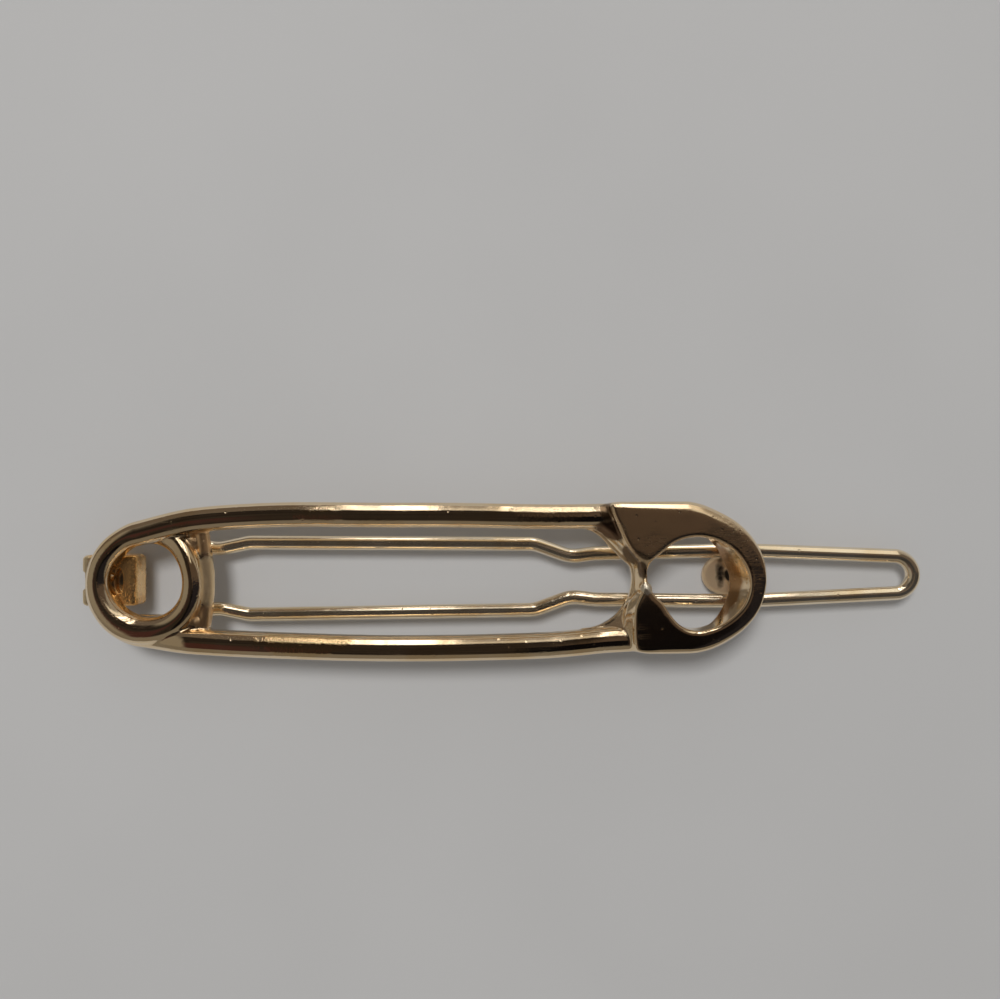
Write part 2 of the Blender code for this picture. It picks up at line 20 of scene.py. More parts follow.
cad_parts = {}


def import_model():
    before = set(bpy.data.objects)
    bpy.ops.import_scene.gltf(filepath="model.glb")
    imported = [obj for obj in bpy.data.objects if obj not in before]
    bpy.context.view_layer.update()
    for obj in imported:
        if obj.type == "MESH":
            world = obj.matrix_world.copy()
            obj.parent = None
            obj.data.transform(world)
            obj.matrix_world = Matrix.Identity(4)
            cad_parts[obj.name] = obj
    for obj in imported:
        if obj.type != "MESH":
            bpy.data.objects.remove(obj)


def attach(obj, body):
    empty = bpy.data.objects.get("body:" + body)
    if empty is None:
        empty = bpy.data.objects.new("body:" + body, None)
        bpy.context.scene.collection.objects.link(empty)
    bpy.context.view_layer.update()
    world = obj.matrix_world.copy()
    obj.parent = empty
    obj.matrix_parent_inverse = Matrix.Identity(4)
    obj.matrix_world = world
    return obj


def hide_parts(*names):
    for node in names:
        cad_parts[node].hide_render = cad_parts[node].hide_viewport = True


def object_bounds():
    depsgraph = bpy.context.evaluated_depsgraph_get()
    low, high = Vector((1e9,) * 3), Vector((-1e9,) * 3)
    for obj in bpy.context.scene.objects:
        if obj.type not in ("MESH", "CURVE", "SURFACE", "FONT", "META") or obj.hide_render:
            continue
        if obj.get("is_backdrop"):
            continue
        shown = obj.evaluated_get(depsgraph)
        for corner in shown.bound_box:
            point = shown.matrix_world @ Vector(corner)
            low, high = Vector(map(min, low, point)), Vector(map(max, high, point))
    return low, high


LOG = logging.getLogger("hair_clip")
MILLIMETRE = 0.001
QUARTER_TURN = 90
HALF_TURN = 180
FULL_TURN = 360
CUTTER_SIDES = 48
SMOOTHING = 0.5
MIDDLE_OF_NOISE = 0.5
CLOUD_RANGE = (0.3, 0.7)

Mesh = bpy.types.Mesh
Object = bpy.types.Object
Pair = tuple[float, float]
Triple = tuple[float, float, float]
Colour = Triple
Table = Sequence[tuple[float, ...]]
Values = Mapping[str | int, object]


# Curves


def smooth(value: float) -> float:
    """Eases from 0 to 1 as the value goes from 0 to 1."""
    value = min(max(value, 0.0), 1.0)
    return value * value * (3 - 2 * value)


def quarter_turns(steps: int) -> list[float]:
    """The angles, in radians, through a quarter turn in so many steps."""
    return [math.radians(QUARTER_TURN * step / steps) for step in range(steps + 1)]


def round_turns(count: int) -> list[float]:
    """The angles, in radians, of so many points round a circle."""
    return [2 * math.pi * index / count for index in range(count)]


def polar(centre: Vector, radius: float, angle: float) -> Vector:
    """The point at an angle round a centre in the XY plane."""
    turn = math.radians(angle)
    return centre + Vector((math.cos(turn), math.sin(turn))) * radius


def share_at(table: Table, place: float, column: int = 1) -> float:
    """Reads a table between its rows, on a smooth curve.

    Args:
        table: Rows in order, each with its place first.
        place: Where to read it.
        column: Which value of the rows to read.

    Returns:
        The value at that place.
    """
    last = len(table) - 1
    row = 0
    while row < last - 1 and place > table[row + 1][0]:
        row += 1
    start, end = table[row], table[row + 1]
    span = end[0] - start[0]
    slopes = []
    for k in (row, row + 1):
        low, high = table[max(k - 1, 0)], table[min(k + 1, last)]
        slopes.append((high[column] - low[column]) / (high[0] - low[0]) * span)
    t = (place - start[0]) / span
    rise = end[column] - start[column]
    return (
        start[column]
        + slopes[0] * t
        + (3 * rise - 2 * slopes[0] - slopes[1]) * t * t
        + (slopes[0] + slopes[1] - 2 * rise) * t**3
    )


def places_along(table: Table, steps: int) -> list[float]:
    """The places from a table's first row to its last, in so many equal steps."""
    first, last = table[0][0], table[-1][0]
    return [first + (last - first) * step / steps for step in range(steps + 1)]


def spline_through(values: Sequence, steps: int) -> list[Vector]:
    """Points of a smooth open curve through the given ones.

    Args:
        values: The points that it passes through.
        steps: How many steps it takes from one to the next.

    Returns:
        The curve's points, both ends included.
    """
    points = [Vector(value) for value in values]
    last = len(points) - 1
    found = []
    for index in range(last):
        before, here = points[max(index - 1, 0)], points[index]
        there, after = points[index + 1], points[min(index + 2, last)]
        for step in range(steps):
            t = step / steps
            found.append(
                here
                + (there - before) * (t / 2)
                + (before * 2 - here * 5 + there * 4 - after) * (t * t / 2)
                + (here * 3 - before - there * 3 + after) * (t**3 / 2)
            )
    return [*found, points[-1]]


def rounded_corners(
    points: Sequence, radii: Sequence[float], bend_step: float, closed: bool = False
) -> list[Vector]:
    """A path with an arc at each corner.

    Args:
        points: The corners, as pairs.
        radii: One radius for each corner.
        bend_step: The angle from one point of an arc to the next.
        closed: Whether the last corner joins the first.

    Returns:
        The path's points.
    """
    corners = [Vector(point) for point in points]
    count = len(corners)
    path: list[Vector] = []
    for index, corner in enumerate(corners):
        if not closed and index in (0, count - 1):
            path.append(corner)
            continue
        back = (corners[index - 1] - corner).normalized()
        ahead = (corners[(index + 1) % count] - corner).normalized()
        turn = math.pi - back.angle(ahead)
        reach = radii[index] * math.tan(turn / 2)
        middle = corner + (back + ahead).normalized() * (radii[index] / math.cos(turn / 2))
        first, last = corner + back * reach - middle, corner + ahead * reach - middle
        steps = max(2, math.ceil(math.degrees(turn) / bend_step))
        for step in range(steps + 1):
            share = step / steps
            weights = math.sin(turn * (1 - share)), math.sin(turn * share)
            path.append(middle + (first * weights[0] + last * weights[1]) / math.sin(turn))
    return path


# Meshes


def oval(middle: Triple, radii: Pair, sides: int) -> list[Triple]:
    """A level ring of points, with its radii along X and Y."""
    x, y, z = middle
    turns = round_turns(sides)
    return [(x + radii[0] * math.cos(turn), y + radii[1] * math.sin(turn), z) for turn in turns]


def shown(name: str, data: bpy.types.ID) -> Object:
    """A new object of the scene, with this data."""
    made = bpy.data.objects.new(name, data)
    bpy.context.scene.collection.objects.link(made)
    return made


class Skin:
    """Closed skins that are gathered in one mesh."""

    def __init__(self) -> None:
        """Starts with nothing."""
        self.bm = bmesh.new()

    def add(self, rings: Sequence[Sequence], tube: bool = True) -> None:
        """Adds one closed skin.

        Args:
            rings: Rings of as many points each, in order.
            tube: True for a rod with two ends, False where the last ring joins the first.
        """
        loops = [[self.bm.verts.new(point) for point in ring] for ring in rings]
        pairs = list(zip(loops, loops[1:]))
        if tube:
            self.bm.faces.new(loops[0])
            self.bm.faces.new(loops[-1])
        else:
            pairs.append((loops[-1], loops[0]))
        for first, second in pairs:
            for k in range(len(first)):
                nxt = (k + 1) % len(first)
                self.bm.faces.new((first[k], first[nxt], second[nxt], second[k]))

    def sweep(self, path: Sequence[Vector], sections: Sequence[Table]) -> None:
        """Adds a rod with one section, of across and height pairs, at each point of a level path."""
        rings = []
        for index, (point, section) in enumerate(zip(path, sections)):
            along = (path[min(index + 1, len(path) - 1)] - path[max(index - 1, 0)]).normalized()
            across = Vector((-along.y, along.x))
            rings.append([(*(point + across * side), height) for side, height in section])
        self.add(rings)

    def mesh(self, name: str) -> Mesh:
        """The gathered mesh, smooth and facing out."""
        bmesh.ops.recalc_face_normals(self.bm, faces=self.bm.faces)
        mesh = bpy.data.meshes.new(name)
        self.bm.to_mesh(mesh)
        self.bm.free()
        mesh.shade_smooth()
        return mesh


def melt(mesh: Mesh, voxel: float, passes: int, cutters: Sequence[Mesh] = ()) -> Mesh:
    """Runs overlapping skins into one, as a casting, with its edges and corners softened.

    Args:
        mesh: The skins, each closed.
        voxel: The size of the mesh's cells.
        passes: How often the new mesh is smoothed.
        cutters: Closed meshes that are cut out of it first.

    Returns:
        The new mesh.
    """
    up = Matrix.Scale(1 / MILLIMETRE, 4)
    mesh.transform(up)
    body = shown(mesh.name, mesh)
    made = [body]
    for cutter in cutters:
        cutter.transform(up)
        made.append(shown(cutter.name, cutter))
        cut = body.modifiers.new(cutter.name, "BOOLEAN")
        cut.operation, cut.solver, cut.object = "DIFFERENCE", "EXACT", made[-1]
    cells = body.modifiers.new("cells", "REMESH")
    cells.mode, cells.voxel_size, cells.use_smooth_shade = "VOXEL", voxel / MILLIMETRE, True
    soften = body.modifiers.new("soften", "SMOOTH")
    soften.factor, soften.iterations = SMOOTHING, passes
    shape = body.evaluated_get(bpy.context.evaluated_depsgraph_get())
    melted = bpy.data.meshes.new_from_object(shape)
    for obj in made:
        bpy.data.objects.remove(obj)
    melted.transform(Matrix.Scale(MILLIMETRE, 4))
    melted.shade_smooth()
    return melted


def cylinder(name: str, centre: Triple, reach: Triple, radii: Pair) -> Mesh:
    """A round or oval rod, used as a cutter.

    Args:
        name: The mesh's name.
        centre: Its middle.
        reach: From its middle to the middle of one end, along X, Y or Z.
        radii: Its two radii, in the order of the other two axes.

    Returns:
        The rod's mesh.
    """
    along = max(range(3), key=lambda axis: abs(reach[axis]))
    first, second = (axis for axis in range(3) if axis != along)
    rings = []
    for end in (-1, 1):
        ring = []
        for turn in round_turns(CUTTER_SIDES):
            point = Vector(centre) + Vector(reach) * end
            point[first] += radii[0] * math.cos(turn)
            point[second] += radii[1] * math.sin(turn)
            ring.append(point)
        rings.append(ring)
    skin = Skin()
    skin.add(rings)
    return skin.mesh(name)


# Shader graphs


class Shade:
    """A value in a shader graph, which sums and products can be written with."""

    def __init__(self, graph: Graph, socket: bpy.types.NodeSocket) -> None:
        """Wraps an output socket of a graph."""
        self.graph, self.socket = graph, socket

    def maths(self, operation: str, *others: Shade | float) -> Shade:
        """The value put through one Math node with others."""
        return self.graph.add("ShaderNodeMath", {"operation": operation}, dict(enumerate((self, *others))))

    def __add__(self, other: Shade | float) -> Shade:
        """Sum."""
        return self.maths("ADD", other)

    def __mul__(self, other: Shade | float) -> Shade:
        """Product."""
        return self.maths("MULTIPLY", other)

    def __sub__(self, other: Shade | float) -> Shade:
        """Difference."""
        return self.maths("SUBTRACT", other)

    def __rsub__(self, other: float) -> Shade:
        """Difference from a number."""
        return self * -1.0 + other

    def __abs__(self) -> Shade:
        """Size without its sign."""
        return self.maths("ABSOLUTE")

    def rises(self, start: float, end: float) -> Shade:
        """Goes smoothly from 0 at the start to 1 at the end, which may be the lower one."""
        values = {"Value": self, "From Min": start, "From Max": end}
        return self.graph.add("ShaderNodeMapRange", {"interpolation_type": "SMOOTHSTEP"}, values)

    def between(self, low: float, high: float, soft: float) -> Shade:
        """Is 1 between two values and fades to 0 outside them."""
        return self.rises(low - soft, low + soft) * self.rises(high + soft, high - soft)


class Graph:
    """The nodes of a material or of the world."""

    def __init__(self, owner: bpy.types.Material | bpy.types.World) -> None:
        """Empties the owner's graph."""
        owner.use_nodes = True
        self.tree = owner.node_tree
        self.tree.nodes.clear()

    def add(
        self, kind: str, settings: Values | None = None, sockets: Values | None = None, out: str | int = 0
    ) -> Shade:
        """Adds a node.

        Args:
            kind: The node's type.
            settings: Its settings.
            sockets: Values or links of its inputs, by name or number.
            out: The output that is wanted.

        Returns:
            That output.
        """
        node = self.tree.nodes.new(kind)
        for name, value in (settings or {}).items():
            setattr(node, name, value)
        for name, value in (sockets or {}).items():
            target = node.inputs[name]
            if isinstance(value, Shade):
                self.tree.links.new(value.socket, target)
            elif target.type == "RGBA":
                target.default_value = (*value, 1.0)
            else:
                target.default_value = value
        return Shade(self, node.outputs[out] if len(node.outputs) else None)

    def place(self, stretch: Triple = (1.0, 1.0, 1.0), shift: Triple = (0.0, 0.0, 0.0)) -> Shade:
        """Where a point lies on its piece, in metres, with each axis stretched and then shifted."""
        point = self.add("ShaderNodeTexCoord", out="Object")
        return self.add("ShaderNodeMapping", None, {"Vector": point, "Scale": stretch, "Location": shift})

    def noise(self, point: Shade, scale: float, detail: float = 1.0, roughness: float = 0.5) -> Shade:
        """Soft noise from 0 to 1 with about so many lumps to the metre."""
        sockets = {"Vector": point, "Scale": scale, "Detail": detail, "Roughness": roughness}
        return self.add("ShaderNodeTexNoise", None, sockets)

    def blend(self, share: Shade, first: Colour | Shade, second: Colour | Shade) -> Shade:
        """Two colours blended by a share."""
        settings = {"data_type": "RGBA"}
        return self.add("ShaderNodeMix", settings, {0: share, 6: first, 7: second}, out=2)

    def surface(self, sockets: Values) -> None:
        """Ends a material with its shader, which has these values and links."""
        shader = self.add("ShaderNodeBsdfPrincipled", None, sockets)
        self.add("ShaderNodeOutputMaterial", None, {"Surface": shader})


# Finishes


def dimmed(colour: Colour, share: float) -> Colour:
    """A colour with its brightness multiplied by a share."""
    return tuple(part * share for part in colour)


@dataclass(frozen=True)
class MarkAndPaintedLight:
    """A place where the plating differs or where shade or light is painted into it: its middle and reach along
    X, Y and Z in mm, and its look.
    """

    middle: Triple
    reach: Triple
    colour: Colour
    dullness: float = 0.2
    coarseness: float = 0.0
    raggedness: float = 0.6
    edge: Pair = (1.4, 1.05)

    def share(self, graph: Graph, ragged: Shade) -> Shade:
        """How much of the place shows at a point, with an edge made ragged by a noise."""
        stretch = tuple(1 / (reach * MILLIMETRE) for reach in self.reach)
        shift = tuple(-middle / reach for middle, reach in zip(self.middle, self.reach))
        sockets = {0: graph.place(stretch, shift)}
        away = graph.add("ShaderNodeVectorMath", {"operation": "LENGTH"}, sockets, out="Value")
        return (away + ragged * self.raggedness).rises(*self.edge)


@dataclass(frozen=True)
class PlatedGold:
    """Champagne gold plating, with the waves, grain, pits and scratches of the metal under it, and listed
    marks, some of them painted shade, highlights or bounced light.
    """

    name: str
    gold: Colour = (0.93, 0.75, 0.51)
    rich_gold: Colour = (0.88, 0.66, 0.39)
    metallic: float = 1.0
    roughness: float = 0.078
    rough_spread: float = 0.05
    wave_scale: float = 330.0
    wave_depth: float = 1.3e-5
    grain_scale: float = 3600.0
    grain_depth: float = 8e-7
    coarse_scale: float = 5200.0
    coarse_depth: float = 9e-6
    coarse_patch_scale: float = 190.0
    coarse_patch_range: Pair = (0.56, 0.7)
    pit_scale: float = 900.0
    pit_size: float = 0.13
    pit_depth: float = 2e-5
    pit_dullness: float = 0.15
    scratch_stretch: Triple = (260.0, 2600.0, 2600.0)
    scratch_width: float = 0.03
    scratch_depth: float = 2.5e-6
    scratch_dullness: float = 0.12
    scratch_patch_scale: float = 150.0
    scratch_patch_range: Pair = (0.5, 0.66)
    rich_scale: float = 240.0
    rich_range: Pair = (0.4, 0.75)
    worn_range: Pair = (0.5, 0.74)
    ragged_scale: float = 1100.0
    marks_and_painted_light: tuple[MarkAndPaintedLight, ...] = ()

    def material(self) -> bpy.types.Material:
        """Builds the finish as a material."""
        material = bpy.data.materials.new(self.name)
        graph = Graph(material)
        point = graph.place()
        waves = graph.noise(point, self.wave_scale, detail=1.5)
        grain = graph.noise(point, self.grain_scale, detail=2.0)
        pits = graph.add("ShaderNodeTexVoronoi", None, {"Vector": point, "Scale": self.pit_scale})
        pits = pits.rises(self.pit_size, 0.0)
        thin = graph.noise(graph.place(self.scratch_stretch), 1.0, detail=2.0, roughness=0.7)
        scratches = abs(thin - MIDDLE_OF_NOISE).rises(self.scratch_width, 0.0)
        scratches = scratches * graph.noise(point, self.scratch_patch_scale).rises(*self.scratch_patch_range)
        patches = graph.noise(point, self.rich_scale, detail=3.0)
        worn = graph.noise(point, self.wave_scale, detail=4.0, roughness=0.65).rises(*self.worn_range)
        ragged = graph.noise(point, self.ragged_scale, detail=3.0)
        rough = worn * self.rough_spread + pits * self.pit_dullness
        rough = rough + scratches * self.scratch_dullness + self.roughness
        colour = graph.blend(patches.rises(*self.rich_range), self.gold, self.rich_gold)
        coarse = graph.noise(point, self.coarse_patch_scale, detail=2.0).rises(*self.coarse_patch_range)
        # Each listed mark blends in its colour; some of them paint shade, a highlight or bounced light.
        for mark in self.marks_and_painted_light:
            share = mark.share(graph, ragged)
            colour = graph.blend(share, colour, mark.colour)
            rough = rough + share * mark.dullness
            coarse = coarse + share * mark.coarseness
        pebbles = graph.noise(point, self.coarse_scale, detail=2.0, roughness=0.6) * coarse
        normal = None
        for height, depth in (
            (waves, self.wave_depth),
            (grain, self.grain_depth),
            (pebbles, self.coarse_depth),
            (1.0 - pits, self.pit_depth),
            (1.0 - scratches, self.scratch_depth),
        ):
            under = {"Normal": normal} if normal else {}
            sockets = {"Strength": 1.0, "Distance": depth, "Height": height, **under}
            normal = graph.add("ShaderNodeBump", None, sockets)
        sockets = {"Base Color": colour, "Metallic": self.metallic, "Roughness": rough, "Normal": normal}
        graph.surface(sockets)
        return material


# The amber is painted light bounced between gold faces in corners; the dark colour is painted shade in
# creases.
PAINTED_BOUNCE_AMBER, PALE, PAINTED_SHADE = (1.0, 0.7, 0.4), (0.93, 0.72, 0.46), (0.25, 0.17, 0.1)
CAST_PLATING = PlatedGold(
    "cast plating",
    marks_and_painted_light=(
        # Painted shade: darker colour in the creases where the upper bar and strut meet the clasp, and down
        # the clasp's neck.
        MarkAndPaintedLight((10, 4.6, 6.8), (1.7, 1.1, 1.6), (0.2, 0.13, 0.08)),
        MarkAndPaintedLight((9.8, 6.4, 6.6), (0.8, 1, 1.2), PAINTED_SHADE),
        MarkAndPaintedLight((12, 2.2, 6.6), (1, 1.5, 1.2), PAINTED_SHADE),
        MarkAndPaintedLight((13, 0.9, 7), (0.5, 1, 1), (0.2, 0.14, 0.09)),
        MarkAndPaintedLight((16.5, 5, 7.6), (7.5, 4.5, 0.6), (0.93, 0.71, 0.45), 0.1, 0.2),
        MarkAndPaintedLight((22.2, 5.5, 7.3), (3.5, 1.6, 1), PALE, 0.0, 1.3),
        # Painted shade: darker amber, with some pebbles, on the eye's inner wall down in the hole.
        MarkAndPaintedLight((21.2, -0.2, 5), (3.2, 5, 1.7), (0.44, 0.25, 0.11), 0.1, 0.8),
        # Painted bounced light: amber, with pebbles, in the corners behind the coil where it meets the link
        # and bars.
        MarkAndPaintedLight((-29.3, 3.8, 5.6), (1.6, 1.3, 1.4), PAINTED_BOUNCE_AMBER, 0.3, 1.5),
        MarkAndPaintedLight((-29.2, -3.4, 5.6), (1.6, 1.3, 1.4), PAINTED_BOUNCE_AMBER, 0.3, 1.5),
        MarkAndPaintedLight((-28.8, -0.1, 5.6), (1.2, 2.6, 1.2), (1.0, 0.81, 0.53), 0.5),
        MarkAndPaintedLight((-19, -5.6, 6.8), (5, 1.6, 1.4), (0.9, 0.66, 0.36), 0.0, 2.4),
        MarkAndPaintedLight((-17.6, 6.2, 7), (2.4, 0.8, 1), PALE, 0.0, 2.4),
        MarkAndPaintedLight((4.5, 6.6, 7), (4, 1.4, 1.2), PALE, 0.0, 1.8),
        # Painted highlight: a pale, near-white spot on the lump at the top of the clasp's neck.
        MarkAndPaintedLight((13.4, -0.9, 7.3), (0.6, 0.7, 0.6), (1.0, 0.92, 0.75), 0.3),
    ),
)
LUG_PLATING = PlatedGold(
    "lug plating",
    # The lug's amber tone varies at random and is made deeper than the cast's gold, as painted bounced light
    # and shade under the coil.
    gold=(1.0, 0.68, 0.32),
    rich_gold=(0.72, 0.38, 0.1),
    metallic=0.94,
    roughness=0.26,
    rough_spread=0.2,
    wave_scale=850.0,
    wave_depth=1.6e-4,
    coarse_depth=3e-5,
    rich_scale=700.0,
    marks_and_painted_light=(
        # Painted shade: a dark patch in the slot on the lug's top.
        MarkAndPaintedLight((-37.75, 0, 4.2), (0.4, 1, 0.6), (0.2, 0.16, 0.11), 0.1),
        # Amber flecks on shinier raised pebbles; the amber is painted bounced light from the coil above.
        MarkAndPaintedLight((-37, 0, 4.6), (1.2, 2.5, 0.6), (1.0, 0.6, 0.24), -0.08, 2.0),
        # The lug's end, out from under the coil, keeps a gold like the cast's, without the painted amber.
        MarkAndPaintedLight((-41.3, 0, 4), (1.2, 3.4, 1.4), (0.92, 0.76, 0.5), 0.25),
        # Painted light: a pale, dull patch on the lug's top by the coil's inner wall, lighter than the shade
        # there.
        MarkAndPaintedLight((-39.1, -0.8, 4.6), (1, 2, 0.8), (1.0, 0.86, 0.6), 0.5),
    ),
)
STUD_PLATING = PlatedGold(
    "stud plating",
    gold=(0.94, 0.74, 0.5),
    rich_gold=(0.85, 0.6, 0.36),
    metallic=0.75,
    roughness=0.5,
    rough_spread=0.15,
    wave_scale=700.0,
    wave_depth=4e-5,
    scratch_stretch=(2600.0, 300.0, 2600.0),
    # Painted shade: near-black on the post's side beneath the clasp's ledge.
    marks_and_painted_light=(MarkAndPaintedLight((21.7, 0.2, 2.8), (0.7, 2, 1.8), (0.03, 0.02, 0.015)),),
)
SPRING_PLATING = PlatedGold(
    "spring plating",
    gold=(1.0, 0.86, 0.64),
    rich_gold=(0.92, 0.72, 0.45),
    metallic=0.96,
    roughness=0.11,
    wave_depth=1e-5,
    scratch_stretch=(160.0, 4200.0, 4200.0),
)


@dataclass(frozen=True)
class PaleFloor:
    """A plain pale floor."""

    name: str = "pale floor"
    shade: Colour = (0.505, 0.5, 0.495)
    roughness: float = 0.9
    cloud_scale: float = 30.0
    cloud_share: float = 0.97

    def material(self) -> bpy.types.Material:
        """Builds the finish as a material."""
        material = bpy.data.materials.new(self.name)
        graph = Graph(material)
        cloudy = graph.noise(graph.place(), self.cloud_scale, detail=2.0).rises(*CLOUD_RANGE)
        shade = graph.blend(cloudy, self.shade, dimmed(self.shade, self.cloud_share))
        graph.surface({"Base Color": shade, "Roughness": self.roughness})
        return material


# The clip


class Side(Enum):
    """A side of the clip, seen from above with the hinge at the left."""

    UPPER = 1
    LOWER = -1


@dataclass(frozen=True)
class ClipSizes:
    """Sizes that several pieces share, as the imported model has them."""

    overall_length: float = 0.0829
    front_length: float = 0.0651
    lug_proud: float = 0.00115
    bar_width: float = 0.0024
    ring_radius: float = 0.0047
    hair_gap: float = 0.00145
    wire_diameter: float = 0.0014
    wire_stud_gap: float = 0.00025
    stud_head_height: float = 0.0015
    stud_post_radius: float = 0.0014
    stud_post_inset: float = 0.0001
    clasp_width: float = 0.0145
    eye_forward: float = 0.0006
    lug_length: float = 0.0054
    lug_width: float = 0.0050

    @property
    def wire_z(self) -> float:
        """Height of the wire's centre line."""
        return self.stud_head_height + self.wire_stud_gap + self.wire_diameter / 2

    @property
    def back_z(self) -> float:
        """Height of the front's back face."""
        return self.wire_z + self.wire_diameter / 2 + self.hair_gap

    @property
    def lug_x(self) -> float:
        """Where the hinge's axis is."""
        return -self.tip_x + self.lug_length / 2

    @property
    def tip_x(self) -> float:
        """Where the tongue ends."""
        return self.overall_length / 2

    @property
    def ring_outer(self) -> float:
        """Outer radius of the coil."""
        return self.ring_radius + self.bar_width / 2

    @property
    def ring_centre(self) -> Vector:
        """Middle of the coil."""
        return Vector((-self.tip_x + self.lug_proud + self.ring_outer, 0.0))

    @property
    def clasp_end_x(self) -> float:
        """Where the clasp's round end is."""
        return self.ring_centre.x - self.ring_outer + self.front_length

    @property
    def clasp_x(self) -> float:
        """Middle of the clasp's round end."""
        return self.clasp_end_x - self.clasp_width / 2

    @property
    def eye_x(self) -> float:
        """Middle of the clasp's eye."""
        return self.clasp_x + self.eye_forward

    @property
    def post_x(self) -> float:
        """Middle of the stud's post."""
        return self.clasp_end_x - self.stud_post_inset - self.stud_post_radius


def dress(name: str, mesh: Mesh, finish: PlatedGold, body: str, node: str) -> None:
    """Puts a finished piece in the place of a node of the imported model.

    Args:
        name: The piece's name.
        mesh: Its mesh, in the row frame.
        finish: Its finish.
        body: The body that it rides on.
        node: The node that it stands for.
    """
    piece = shown(name, mesh)
    mesh.materials.clear()
    mesh.materials.append(finish.material())
    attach(piece, body)
    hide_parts(node)
    LOG.info("%s: %d faces, rides on %s", name, len(mesh.polygons), body)


